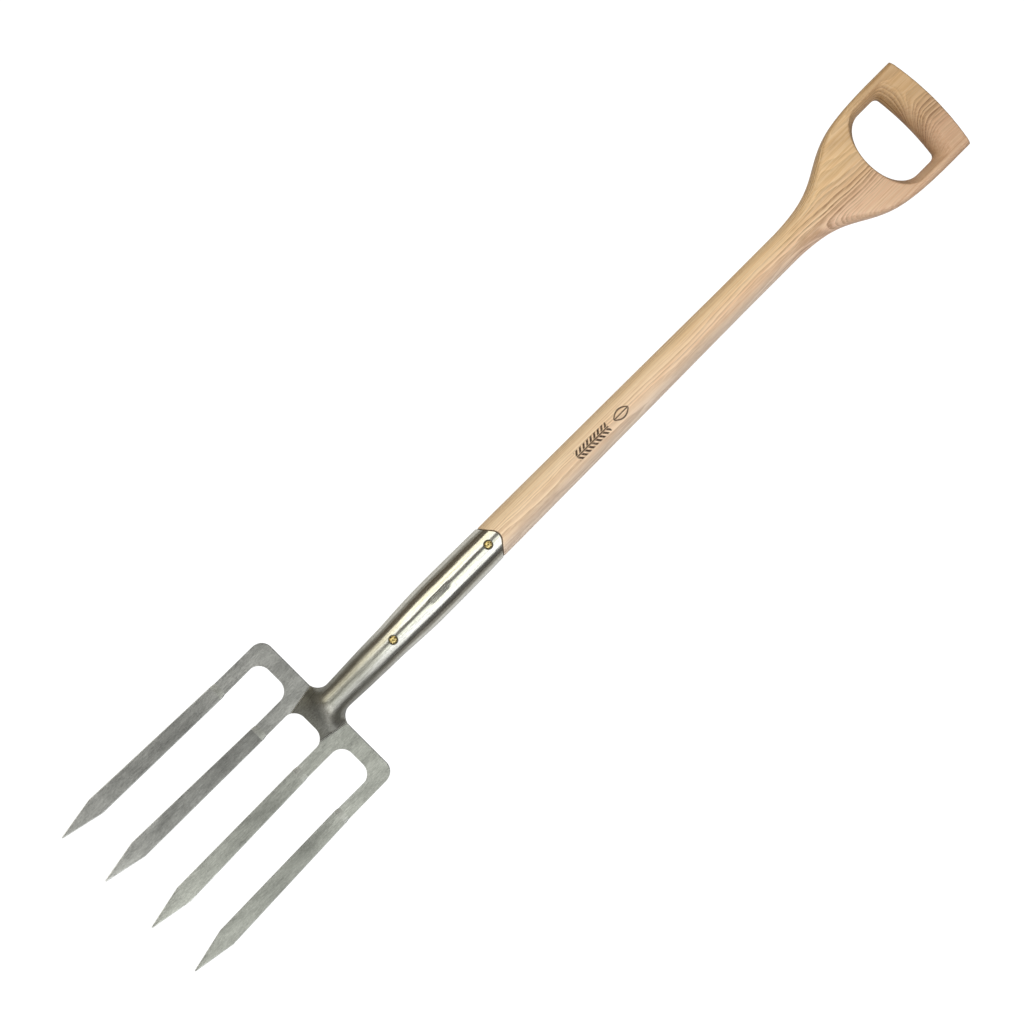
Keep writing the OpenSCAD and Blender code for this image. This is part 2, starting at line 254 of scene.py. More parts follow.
# ---------------------------------------------------------------- materials
class Nodes:
    """Adds nodes to a tree.  Wherever a value goes in, it is a constant or another node's output."""

    def __init__(self, tree):
        self.tree = tree

    def put(self, socket, value):
        if isinstance(value, bpy.types.NodeSocket):
            self.tree.links.new(value, socket)
        else:
            socket.default_value = value

    def node(self, kind, inputs=(), **settings):
        made = self.tree.nodes.new(kind)
        for key, value in settings.items():
            setattr(made, key, value)
        for key, value in dict(inputs).items():
            self.put(made.inputs[key], value)
        return made

    def vector(self, operation, a, b):
        return self.node("ShaderNodeVectorMath", {0: a, 1: b}, operation=operation).outputs["Vector"]

    def math(self, operation, a, b=0.0, c=0.0):
        return self.node("ShaderNodeMath", {0: a, 1: b, 2: c}, operation=operation).outputs[0]

    def axes(self, vector):
        return self.node("ShaderNodeSeparateXYZ", {0: vector}).outputs

    def length(self, a, b):
        """Length of the vector (a, b)."""
        return self.math("SQRT", self.math("ADD", self.math("MULTIPLY", a, a), self.math("MULTIPLY", b, b)))

    def sway(self, value, wave, amount):
        """The value moved to and fro by a noise from 0 to 1, by the amount from end to end."""
        return self.math("ADD", value, self.math("MULTIPLY", self.math("SUBTRACT", wave, 0.5), amount))

    def span(self, value, start, end, low=0.0, high=1.0, **settings):
        """Goes from low to high while the value goes from start to end, and stays level beyond them."""
        inputs = {"Value": value, "From Min": start, "From Max": end, "To Min": low, "To Max": high}
        return self.node("ShaderNodeMapRange", inputs, **settings).outputs[0]

    def noise(self, where, cell, detail=2.0, roughness=0.5):
        """Noise from 0 to 1 whose features are about cell = (x, y, z) millimetres in size."""
        scaled = self.vector("DIVIDE", where, cell)
        return self.node("ShaderNodeTexNoise", {"Vector": scaled, "Scale": 1.0, "Detail": detail,
                                                "Roughness": roughness}).outputs["Fac"]

    def ramp(self, value, stops):
        """Maps a value through [(position, brightness or colour)]."""
        made = self.node("ShaderNodeValToRGB", {"Fac": value})
        elements = made.color_ramp.elements
        while len(elements) < len(stops):
            elements.new(1.0)
        for element, (position, colour) in zip(elements, stops):
            element.position = position
            rgb = colour if isinstance(colour, tuple) else (colour, colour, colour)
            element.color = (*rgb, 1.0)
        return made.outputs["Color"]

    def blend(self, factor, a, b, mode="MIX"):
        """Goes from colour a to colour b with the factor."""
        made = self.node("ShaderNodeMix", data_type="RGBA", blend_type=mode)
        self.put(made.inputs["Factor"], factor)
        for index, value in ((6, a), (7, b)):
            self.put(made.inputs[index], (*value, 1.0) if isinstance(value, tuple) else value)
        return made.outputs[2]

    def times(self, a, b):
        """Product of two colours."""
        return self.blend(1.0, a, b, "MULTIPLY")


class Graph(Nodes):
    """A node material under construction around one shader, a Principled one unless told otherwise."""

    def __init__(self, name, kind="ShaderNodeBsdfPrincipled"):
        self.material = bpy.data.materials.new(name)
        self.material.use_nodes = True
        super().__init__(self.material.node_tree)
        self.tree.nodes.clear()
        self.shader = self.tree.nodes.new(kind)
        output = self.tree.nodes.new("ShaderNodeOutputMaterial")
        self.tree.links.new(self.shader.outputs[0], output.inputs["Surface"])

    def set(self, **inputs):
        """Sets the shader's inputs, named with an underscore for each space."""
        for key, value in inputs.items():
            self.put(self.shader.inputs[key.replace("_", " ")], value)

    def place(self):
        """Object coordinates in millimetres."""
        where = self.node("ShaderNodeTexCoord").outputs["Object"]
        return self.vector("MULTIPLY", where, (1 / MM, 1 / MM, 1 / MM))

    def facing(self, axis):
        """How far the surface faces along an axis of the object, either way: 0 edge on, 1 square on."""
        return self.math("ABSOLUTE", self.axes(self.node("ShaderNodeTexCoord").outputs["Normal"])[axis])

    def bump(self, height, distance, strength):
        return self.node("ShaderNodeBump", {"Height": height, "Distance": distance * MM,
                                            "Strength": strength}).outputs["Normal"]


def ash_wood():
    """Ash sawn so that its growth rings are cylinders round a pith far behind the left of the grip."""
    pith_y, pith_z, pith_slope, ring_t = 40.0, -32.0, 0.012, 1.9
    g = Graph("ash_wood")
    where = g.place()
    x, y, z = g.axes(where)
    sway = g.noise(where, (170, 60, 60), detail=1.0)
    ripple = g.noise(where, (38, 9, 9), detail=2.0)
    across = g.math("ADD", g.math("SUBTRACT", y, pith_y), g.math("MULTIPLY", x, pith_slope))
    radius = g.length(across, g.math("SUBTRACT", z, pith_z))
    radius = g.sway(g.sway(radius, sway, 9.0), ripple, 1.6)
    rings = g.math("DIVIDE", radius, ring_t)
    uneven = g.node("ShaderNodeTexNoise", {"W": g.math("MULTIPLY", rings, 0.45), "Scale": 1.0,
                                           "Detail": 1.0}, noise_dimensions="1D").outputs["Fac"]
    rings = g.math("ADD", rings, g.math("MULTIPLY", uneven, 1.6))
    line = g.ramp(g.math("FRACT", rings), [(0.0, 0.9), (0.08, 1.0), (0.30, 0.80), (0.5, 0.38), (0.78, 0.08),
                                           (0.95, 0.0), (1.0, 0.8)])
    # rings differ in strength, and their lines come and go along the tool
    own = g.node("ShaderNodeTexWhiteNoise", {"W": g.math("FLOOR", rings)}, noise_dimensions="1D")
    strength = g.ramp(own.outputs["Value"], [(0.0, 0.55), (0.7, 1.0)])
    patches = g.ramp(g.noise(where, (120, 22, 22), detail=2.0), [(0.3, 0.7), (0.6, 1.0)])
    pores = g.ramp(g.noise(where, (11, 0.8, 0.8), detail=2.0, roughness=0.6), [(0.35, 0.3), (0.6, 1.0)])
    # and with the distance from the pith, in tenths of a metre, and less on the shaft than on the grip
    faint = g.ramp(g.math("DIVIDE", radius, 100.0), [(0.65, 1.25), (0.70, 0.5), (0.73, 0.5), (0.77, 1.0),
                                                     (0.85, 1.0), (0.93, 0.24)])
    faint = g.math("MULTIPLY", faint, g.span(x, THROAT_X - 30, THROAT_X + 60, low=0.55))
    line = g.times(g.math("MULTIPLY", g.times(line, strength), faint), patches)
    line = g.blend(0.75, line, g.times(line, pores))
    # yellowish on the left, pinkish on the right: a painted tint of the warm lamps on the left and the cool
    # light on the right, with fine streaks
    side = g.math("ADD", g.math("MULTIPLY", y, -0.016), g.noise(where, (240, 26, 26), detail=2.0))
    pale = g.ramp(side, [(0.2, (0.97, 0.675, 0.39)), (0.5, (0.96, 0.65, 0.44)), (0.8, (0.94, 0.625, 0.46))])
    # a painted sheen makes the lower shaft paler, and a painted pinkish reflection runs down its right side
    pale = g.blend(g.span(x, THROAT_X - 30, SHAFT_MID_X - 100, high=0.6), pale, (1.0, 0.79, 0.58))
    wander = g.sway(y, g.noise(where, (90, 30, 30), detail=1.0), 6.0)
    # painted reflection, pale pink, down the shaft's right side
    painted_right_reflection = g.span(wander, -6.0, -15.0, interpolation_type="SMOOTHSTEP")
    shaft = g.span(x, THROAT_X + 20, THROAT_X - 40)
    pale = g.blend(g.math("MULTIPLY", painted_right_reflection, shaft), pale, (0.96, 0.78, 0.65))
    streak = g.noise(where, (70, 1.7, 1.7), detail=2.0, roughness=0.6)
    pale = g.blend(g.ramp(streak, [(0.4, 0.0), (0.62, 0.42)]), pale, (0.98, 0.80, 0.60))
    pale = g.blend(g.ramp(streak, [(0.38, 0.30), (0.5, 0.0)]), pale, (0.66, 0.42, 0.24))
    fibre = g.noise(where, (14, 0.5, 0.5), detail=3.0, roughness=0.65)
    pale = g.blend(g.math("MULTIPLY", fibre, 0.18), pale, (0.60, 0.38, 0.20))
    colour = g.blend(line, pale, g.times(pale, (0.29, 0.18, 0.10)))
    # painted shade: the grip darkens towards its far end, and most on the end grain, where the surface faces
    # along the tool
    painted_grip_shade = g.ramp(g.span(x, THROAT_X, GRIP_X - 30),
                  [(0.0, (1.0, 1.0, 1.0)), (0.5, (0.89, 0.86, 0.80)), (1.0, (0.72, 0.66, 0.59))])
    painted_end_shade = g.ramp(g.facing(0), [(0.25, (1.0, 1.0, 1.0)), (0.9, (0.62, 0.58, 0.50))])
    colour = g.times(g.times(colour, painted_grip_shade), painted_end_shade)
    burn = burned_mark(g, where, x, y, z)
    colour = g.blend(burn, colour, (0.045, 0.017, 0.006))
    # painted shadow along the joint of wood and socket
    colour = g.blend(joint_painted_shadow(g, x, y), colour, (0.07, 0.05, 0.035))
    g.set(Base_Color=colour, Roughness=g.ramp(fibre, [(0.2, 0.40), (0.8, 0.55)]))
    g.set(IOR=1.45, Specular_IOR_Level=0.45)
    height = g.math("SUBTRACT", g.math("MULTIPLY", fibre, 0.35), g.math("MULTIPLY", line, 0.6))
    height = g.math("SUBTRACT", height, g.math("MULTIPLY", burn, 1.5))
    g.set(Normal=g.bump(height, 0.10, 0.7))
    return g.material


def joint_painted_shadow(g, x, y):
    """Painted shadow in the joint of wood and socket: most at the socket's mouth, none from a millimetre off
    it.
    """
    out = g.math("ABSOLUTE", y)
    past = g.math("SUBTRACT", x, TONGUE_X - TONGUE_R)
    round_gap = g.math("SUBTRACT", g.length(past, out), TONGUE_R)
    edge = g.math("SUBTRACT", TONGUE_R * math.cos(TONGUE_SLOPE),
                  g.math("MULTIPLY", g.math("SUBTRACT", out, TONGUE_TOUCH), math.tan(TONGUE_SLOPE)))
    straight_gap = g.math("MULTIPLY", g.math("SUBTRACT", past, edge), math.cos(TONGUE_SLOPE))
    tip = g.math("LESS_THAN", out, TONGUE_TOUCH)
    gap = g.math("ADD", g.math("MULTIPLY", tip, round_gap),
                 g.math("MULTIPLY", g.math("SUBTRACT", 1.0, tip), straight_gap))
    return g.ramp(gap, [(0.35, 0.85), (1.0, 0.0)])


def burned_mark(g, where, x, y, z):
    """A plain ear of grain and a leaf burned into the front of the shaft: 0 off the mark, 1 on it."""
    mark_y, ear_x, ear_half, grain_gap = -1.0, 87.0, 22.0, 2.5
    leaf_x, leaf_half, leaf_half_w = 127.0, 10.0, 5.0

    def within(value, half, soft=0.35):
        return g.span(g.math("ABSOLUTE", value), half + soft, half - soft)

    off = g.math("ADD", y, -mark_y)
    out = g.math("ABSOLUTE", off)
    # the ear: a stem with slanted grains on both sides
    grains = g.math("WRAP", g.math("SUBTRACT", x, g.math("MULTIPLY", out, 0.8)), grain_gap, -grain_gap)
    grains = g.math("MULTIPLY", within(grains, 1.4), within(g.math("SUBTRACT", out, 3.3), 2.3))
    ear = g.math("MULTIPLY", g.math("MAXIMUM", grains, within(off, 0.7)),
                 within(g.math("SUBTRACT", x, ear_x), ear_half))
    # the leaf: its outline and its midrib
    from_leaf = g.math("SUBTRACT", x, leaf_x)
    along = g.math("DIVIDE", from_leaf, leaf_half)
    rim = g.math("MULTIPLY", g.math("SUBTRACT", 1.0, g.math("MULTIPLY", along, along)), leaf_half_w)
    leaf = g.math("MAXIMUM", within(g.math("SUBTRACT", out, rim), 0.8), within(off, 0.6))
    leaf = g.math("MULTIPLY", leaf, within(from_leaf, leaf_half))
    front = g.math("GREATER_THAN", z, AXIS_Z)
    rough = g.ramp(g.noise(where, (1.2, 0.9, 0.9), detail=2.0), [(0.3, 0.7), (0.5, 1.0)])
    return g.math("MULTIPLY", g.math("MULTIPLY", g.math("MAXIMUM", ear, leaf), front), rough)


def ground_steel(name, tones, tint=(1.0, 1.005, 0.96)):
    """Stainless plate, ground lengthways.

    The tones are its brightness at the root of the tines, just below it, past half way and at the points,
    which on the tines are painted reflections of the lamps; the tint, given per side, is a painted tint of
    the lamps' light.
    """
    g = Graph(name)
    where = g.place()
    brushed = g.noise(where, (9.0, 0.6, 0.8), detail=2.0, roughness=0.6)
    crossed = g.noise(g.vector("ADD", where, (13.0, 7.0, 0.0)), (1.8, 1.2, 1.2), detail=2.0, roughness=0.5)
    cloudy = g.noise(where, (30, 10, 10), detail=2.0, roughness=0.5)
    texture = g.math("ADD", g.math("MULTIPLY", brushed, 0.42), g.math("MULTIPLY", crossed, 0.24))
    texture = g.math("ADD", texture, g.math("MULTIPLY", cloudy, 0.34))
    # painted reflections: the plate's brightness changes along the tine as the tones give
    share = g.span(g.axes(where)[0], TINE_X - 10, TIP_X + 15)
    tone = g.ramp(share, list(zip((0.0, 0.16, 0.6, 1.0), tones)))
    grain = g.ramp(texture, [(0.36, tuple(c * 0.48 for c in tint)), (0.64, tint)])
    colour = g.vector("MULTIPLY", tone, grain)
    # painted shade: bevels and sides that face away from the vertical are darkened against the flat faces
    edge = g.ramp(g.facing(2), [(0.5, 0.42), (0.93, 1.42)])
    g.set(Base_Color=g.times(colour, edge), Metallic=1.0)
    g.set(Roughness=g.ramp(texture, [(0.35, 0.30), (0.65, 0.36)]))
    g.set(Normal=g.bump(texture, 0.012, 0.5))
    return g.material


def rivet_recess_painted_shade(g, x, y):
    """Painted shade in the recesses round the rivets: 1 inside a recess, 0 beyond its rim."""
    upper, lower = (g.span(g.length(g.math("SUBTRACT", x, at), y), RECESS_R + 0.5, RECESS_R - 0.4)
                    for at in RIVET_X)
    return g.math("MAXIMUM", upper, lower)


def forged_steel():
    """The socket: forged, then polished lengthways to a satin shine, duller and darker towards its foot, with
    painted shade on the foot's slope and in the rivets' recesses.
    """
    g = Graph("forged_steel")
    where = g.place()
    streaks = g.noise(where, (45, 1.3, 1.3), detail=2.0, roughness=0.6)
    pits = g.noise(where, (2.4, 1.0, 1.0), detail=3.0, roughness=0.65)
    cloudy = g.noise(where, (34, 10, 10), detail=2.0)
    texture = g.math("ADD", g.math("MULTIPLY", streaks, 0.5), g.math("MULTIPLY", pits, 0.5))
    colour = g.ramp(texture, [(0.32, (0.36, 0.35, 0.31)), (0.50, (0.57, 0.56, 0.52)),
                              (0.68, (0.74, 0.73, 0.69))])
    x, y, _ = g.axes(where)
    neck = g.span(g.math("ADD", x, g.math("MULTIPLY", cloudy, 16.0)), RIVET_X[1] + 26, RIVET_X[1] - 40)
    # painted shade darkens the foot's slope, slanted so that a painted highlight stays at its upper right;
    # the same mask dulls the foot
    foot = g.span(g.math("SUBTRACT", x, g.math("MULTIPLY", y, 0.3)), HEAD_X, HEAD_X - 12)
    darker = g.blend(neck, (1.0, 1.0, 1.0), (0.52, 0.52, 0.51))
    darker = g.times(darker, g.blend(foot, (1.3, 1.3, 1.28), (0.56, 0.565, 0.56)))
    # painted shade in the rivets' recesses
    darker = g.blend(g.math("MULTIPLY", rivet_recess_painted_shade(g, x, y), 0.8), darker, (0.12, 0.10, 0.08))
    g.set(Base_Color=g.times(colour, darker), Metallic=1.0)
    satin = g.ramp(cloudy, [(0.3, 0.14), (0.7, 0.21)])
    dull = g.math("ADD", g.math("MULTIPLY", neck, 0.19), g.math("MULTIPLY", foot, 0.2))
    g.set(Roughness=g.math("ADD", satin, dull))
    g.set(Normal=g.bump(texture, 0.07, 0.8))
    return g.material


def weld_metal():
    g = Graph("weld_metal")
    where = g.place()
    beads = g.noise(where, (1.1, 1.1, 1.1), detail=2.0)
    g.set(Base_Color=g.ramp(beads, [(0.3, (0.30, 0.29, 0.27)), (0.7, (0.55, 0.54, 0.50))]), Metallic=1.0)
    g.set(Roughness=g.ramp(beads, [(0.3, 0.28), (0.7, 0.5)]))
    g.set(Normal=g.bump(beads, 0.2, 0.6))
    return g.material


def hammered_brass():
    g = Graph("hammered_brass")
    where = g.place()
    dents = g.noise(where, (1.8, 1.8, 1.8), detail=2.0)
    g.set(Base_Color=g.ramp(dents, [(0.40, (0.24, 0.18, 0.06)), (0.60, (0.82, 0.66, 0.30))]), Metallic=1.0)
    g.set(Roughness=g.ramp(dents, [(0.3, 0.22), (0.7, 0.38)]))
    g.set(Normal=g.bump(dents, 0.25, 0.8))
    return g.material


# ---------------------------------------------------------------- handle
def flare(x):
    """Share of the grip's flare reached at x: 0 in the round shaft, 1 at the full width."""
    def curve(at):
        return 1 / (1 + math.exp(-(at - GRIP_X + FLARE_MID) / FLARE_SPREAD))
    low, high = curve(THROAT_X), curve(GRIP_X - FLARE_END)
    return min(1.0, max(0.0, (curve(x) - low) / (high - low)))


def tongue_line(y):
    """Where the socket's mouth crosses y, along the tool."""
    y = abs(y)
    centre = TONGUE_X - TONGUE_R
    if y < TONGUE_TOUCH:
        return centre + math.sqrt(TONGUE_R ** 2 - y ** 2)
    return centre + TONGUE_R * math.cos(TONGUE_SLOPE) - (y - TONGUE_TOUCH) * math.tan(TONGUE_SLOPE)


def shaft_radius(x):
    stations = [TONGUE_X, SHAFT_MID_X, SHAFT_TOP_X]
    return float(np.interp(x, stations, [SHAFT_LOW_R, SHAFT_MID_R, SHAFT_TOP_R]))


def socket_table():
    """The socket's outer radius against distance from the tongue's tip, with the bends rounded off."""
    at = np.arange(-40.0, BARREL_LEN + 41.0, 1.0)
    share = [s[0] * BARREL_LEN for s in SOCKET]
    radius = np.interp(at, share, [s[1] for s in SOCKET])
    window = np.hanning(25)
    padded = np.pad(radius, 12, mode="edge")
    return at, np.convolve(padded, window / window.sum(), mode="valid")


SOCKET_AT, SOCKET_R = socket_table()


def socket_radius(x):
    return float(np.interp(TONGUE_X - x, SOCKET_AT, SOCKET_R))


def handle_ring(x, half_w, half_h, r, middle_z):
    """Ring of a rounded rectangle square to X, from the middle of its +Y side up and round."""
    r = min(r, half_w - 0.3, half_h - 0.3)
    quarter = [(half_w, (half_h - r) * (i + 0.5) / 3) for i in range(3)]
    for i in range(10):
        a = math.radians(90 * (i + 0.5) / 10)
        quarter.append((half_w - r + r * math.cos(a), half_h - r + r * math.sin(a)))
    quarter += [((half_w - r) * (1 - (i + 0.5) / 14), half_h) for i in range(14)]
    half = quarter + [(-y, z) for y, z in reversed(quarter)]
    whole = half + [(y, -z) for y, z in reversed(half)]
    return [(x, y, middle_z + z) for y, z in whole]


def hand_outline(t, z):
    """Outline of the hand opening at share t of the way from mid-depth (0) to a face (1)."""
    top = GRIP_X - CROSSBAR_T + CROSSBAR_ROLL * (1 - math.sqrt(1 - t * t))
    half = GRIP_HALF - ARM_W + HAND_FLARE * t * t
    low = HAND_ROUND + 2 * t * t
    r = HAND_CORNER_R
    flat = half - r
    middle = GRIP_X - CROSSBAR_T - HAND_STRAIGHT
    corner = top - flat * flat / (2 * CROWN_R) - r
    points = arc(corner, flat, r, 90, 0, 12)
    for j in range(1, 12):
        y = flat * (1 - j / 6)
        points.append((top - y * y / (2 * CROWN_R), y))
    points += arc(corner, -flat, r, 0, -90, 12)
    for k in range(41):
        a = math.radians(-90 - 4.5 * k)
        points.append((middle + low * math.cos(a), half * math.sin(a)))
    return [(px, py, z) for px, py in points]


def build_handle(material):
    bm = bmesh.new()
    rings = []

    def round_ring(radius, place):
        return [(place(y), y, z) for _, y, z in handle_ring(0, radius, radius, radius, AXIS_Z)]

    def shoulder(share):
        return lambda y: mix(tongue_line(y) + JOINT_GAP, SHOULDER_END_X, share)

    # tenon inside the socket, then the shoulder along the socket's mouth, then the shaft
    for x in np.linspace(TENON_X, TONGUE_X - TONGUE_LEN, 40):
        rings.append(round_ring(socket_radius(x) - SOCKET_WALL, lambda y, x=x: x))
    rings.append(round_ring(socket_radius(TONGUE_X) - SOCKET_WALL, tongue_line))
    for t in (0.0, 0.04, 0.2, 0.45, 0.7, 1.0):
        rings.append(round_ring(SHAFT_LOW_R, shoulder(t)))
    for x in np.linspace(SHOULDER_END_X + 6, THROAT_X, 60):
        rings.append(round_ring(shaft_radius(x), lambda y, x=x: x))
    # the flare and the grip, whose far end is arched in plan
    for x in np.linspace(THROAT_X + 3, GRIP_X, 70):
        f = flare(x)
        half_w = mix(SHAFT_TOP_R, GRIP_HALF, f)
        half_h = mix(SHAFT_TOP_R, GRIP_DEPTH / 2, smooth(2 * f))
        middle_z = mix(AXIS_Z, GRIP_DEPTH / 2, smooth(1.6 * f))
        r = mix(SHAFT_TOP_R, GRIP_EDGE_R, smooth(1.2 * f))
        arch = smooth((x - GRIP_X + ARCH_LEN) / ARCH_LEN)
        ring = handle_ring(x, half_w, half_h, r, middle_z)
        rings.append([(px - arch * py * py / (2 * CROWN_R), py, pz) for px, py, pz in ring])
    made = loft(bm, rings, cap_last=False)
    end = made[-1]
    count = len(end)
    for i in range(count // 2 - 1):
        a, b = end[i], end[i + 1]
        c, d = end[count - 2 - i], end[count - 1 - i]
        bm.faces.new((a, b, c, d))
    handle = make_object("ash_handle", bm, "handle", [material])

    opening = bmesh.new()
    half = GRIP_DEPTH / 2
    levels = [math.sin(math.radians(a)) for a in range(-90, 91, 6)]
    loft(opening, [hand_outline(1, -2)] + [hand_outline(t, half + (half + 0.23) * t) for t in levels]
         + [hand_outline(1, GRIP_DEPTH + 2)])
    cut_away(handle, [opening])

    remesh = handle.modifiers.new("remesh", "REMESH")
    remesh.mode = "VOXEL"
    remesh.voxel_size = VOXEL * MM
    ease = handle.modifiers.new("ease", "SMOOTH")
    ease.factor = 0.5
    ease.iterations = 4
    apply_modifiers(handle)
    soften(handle, 60)


# ---------------------------------------------------------------- socket
def back_z(x):
    return CURVE_R - math.sqrt(CURVE_R ** 2 - (x - HEEL_X) ** 2)


def front_z(x):
    return BLADE_T + CURVE_R - math.sqrt(CURVE_R ** 2 - (x - HEEL_X + TAPER_SHIFT) ** 2)


def neck_side(x):
    """Half width of the neck's bar, which spreads a little as it flattens."""
    return mix(NECK_R, NECK_R + NECK_SPREAD, smooth((NECK_X - x) / NECK_SPREAD_LEN))


def neck_depths(x, y):
    """Heights of the front and back of the neck or foot at x, for an array of distances y from the axis.

    The neck's oval bar and the head's plate are joined by a hollow fillet of one radius.
    """
    crest = mix(AXIS_Z + NECK_R, front_z(x) + 1, smooth((NECK_X - FOOT_SLOPE_AT - x) / FOOT_SLOPE_LEN))
    low = mix(AXIS_Z - NECK_R, back_z(x), smooth((NECK_X - x) / NECK_DROP_LEN))
    bar_z, bar_half_z = (crest + low) / 2, (crest - low) / 2
    bar_half_y = neck_side(x)
    plate_z, plate_half = (front_z(x) + back_z(x)) / 2, (front_z(x) - back_z(x)) / 2
    beyond = max(0.0, x - HEAD_X)
    k = NECK_FILLET

    def inside(z):
        spread = np.hypot(y / bar_half_y, (z - bar_z) / bar_half_z)
        bar = (spread - 1) * min(bar_half_y, bar_half_z)
        off = np.abs(z - plate_z) - plate_half
        plate = np.hypot(beyond, np.maximum(off, 0)) if beyond > 0 else off
        joined = (np.maximum(k, np.minimum(bar, plate))
                  - np.hypot(np.maximum(k - bar, 0), np.maximum(k - plate, 0)))
        return joined <= 0

    heights = []
    core = np.full_like(y, mix(AXIS_Z, plate_z, smooth((NECK_X - x) / 18)))
    for far in (crest + 3, low - 3):
        near, away = core.copy(), np.full_like(y, far)
        for _ in range(30):
            middle = (near + away) / 2
            hit = inside(middle)
            near = np.where(hit, middle, near)
            away = np.where(hit, away, middle)
        heights.append(near)
    front, back = heights
    return front, np.maximum(back, low)


def neck_half(x):
    """Half width of the neck at x, where its fillet runs out to the head's top edge."""
    d = min(NECK_FILLET - 0.02, max(0.0, HEAD_X + NECK_FILLET - x))
    return neck_side(x) + NECK_FILLET - math.sqrt(NECK_FILLET ** 2 - d * d)


def hammer(x, a):
    """Small unevenness of the forged surface, in millimetres."""
    broad = Vector((x / 26, 1.3 * math.cos(a), 1.3 * math.sin(a)))
    fine = Vector((x / 9 + 5, 2.6 * math.cos(a), 2.6 * math.sin(a)))
    return 0.16 * noise.noise(broad) + 0.05 * noise.noise(fine)


def foot_edge(x, margin=0.0):
    slope = (FOOT_HALF_TOP - FOOT_HALF_LOW) / (HEAD_X - FOOT_LOW_X)
    return FOOT_HALF_TOP + margin - slope * (HEAD_X - x)


def slot_end(top, middle, inner):
    """A slot's closed end, whose corners' centres lie inner away from its middle."""
    return (arc(top - SLOT_R, middle + inner, SLOT_R, 90, 0, 14)
            + arc(top - SLOT_R, middle - inner, SLOT_R, 0, -90, 14))


def centre_slot():
    """Cutter for the slot between the inner tines, from its round closed end out past the points."""
    top, half = HEAD_X - CENTRE_SLOT_AT, SLOT_W / 2
    beyond = TIP_X - 10
    outline = slot_end(top, 0, half - SLOT_R) + [(beyond, -half), (beyond, half)]
    return prism(outline, -10, CUTTER_HIGH)


def rivet_profile_solid(x, profile, steps=48):
    """Solid of revolution about the vertical line through x on the shaft's axis, from [(radius, z)]."""
    bm = bmesh.new()
    rings = [[(x + r * math.cos(2 * math.pi * i / steps), r * math.sin(2 * math.pi * i / steps), AXIS_Z + z)
              for i in range(steps)] for r, z in profile]
    loft(bm, rings)
    return bm


def build_socket(material):
    count = 160
    angles = [2 * math.pi * (i + 0.5) / count for i in range(count)]
    mouth = [tongue_line(MOUTH_R * math.cos(a)) for a in angles]

    def smooth_point(x, a, r):
        return (x, r * math.cos(a), AXIS_Z + r * math.sin(a))

    def barrel_point(x, a):
        _, y, z = smooth_point(x, a, socket_radius(x) + hammer(x, a))
        # a short flat is ground along the front
        flat = AXIS_Z + math.sqrt(max(0.0, socket_radius(x) ** 2 - PATCH_HALF_W ** 2))
        if z > flat:
            z = mix(z, flat, smooth((PATCH_HALF_LEN + 2 - abs(x - PATCH_X)) / 3))
        return (x, y, z)

    # the barrel from its bevelled mouth down, then the neck and the foot
    mouth_end = TONGUE_X - 26
    rings = [[smooth_point(x, a, socket_radius(x) - MOUTH_BEVEL) for x, a in zip(mouth, angles)]]
    for t in (0.045, 0.1, 0.16, 0.27, 0.4, 0.55, 0.7, 0.85, 1.0):
        rings.append([barrel_point(mix(x, mouth_end, t), a) for x, a in zip(mouth, angles)])
    for x in np.arange(mouth_end - 2, NECK_X, -2.0):
        rings.append([barrel_point(x, a) for a in angles])
    stations = [NECK_X - 0.8 * i for i in range(19)]
    stations += [HEAD_X + d for d in (0.6, 0.3, 0.1, 0.0)]
    stations += [HEAD_X - 0.01 - 0.9 * i for i in range(41)]
    for x in stations:
        half = neck_half(x) if x > HEAD_X - 0.005 else foot_edge(x) - 0.02
        y = np.array([half * math.cos(a) for a in angles])
        top, bottom = neck_depths(x, y)
        ring = []
        for a, py, z1, z0 in zip(angles, y, top, bottom):
            shift = hammer(x, a) * smooth((x - HEAD_X) / 16)
            ring.append((x, py, (z1 if math.sin(a) > 0 else z0) + shift * math.sin(a)))
        rings.append(ring)
    bm = bmesh.new()
    outer = loft(bm, rings, cap_first=False)

    inner_rings = [[smooth_point(x, a, MOUTH_R - SOCKET_WALL) for x, a in zip(mouth, angles)]]
    for x in np.linspace(mouth_end, CAVITY_X, 40):
        inner_rings.append([smooth_point(x, a, socket_radius(x) - SOCKET_WALL) for a in angles])
    inner = loft(bm, inner_rings, cap_first=False)
    for j in range(count):
        k = (j + 1) % count
        bm.faces.new((outer[0][j], outer[0][k], inner[0][k], inner[0][j]))
    socket = make_object("forged_socket", bm, "socket", [material])

    cutters = [centre_slot()]
    for x in RIVET_X:
        floor = socket_radius(x) - RECESS_DEPTH
        profile = [(RECESS_R, -CUTTER_HIGH), (RECESS_R, -floor), (RIVET_R, -floor + 0.01),
                   (RIVET_R, floor - 0.01), (RECESS_R, floor), (RECESS_R, CUTTER_HIGH)]
        cutters.append(rivet_profile_solid(x, profile, 64))
    cut_away(socket, cutters)
    soften(socket)


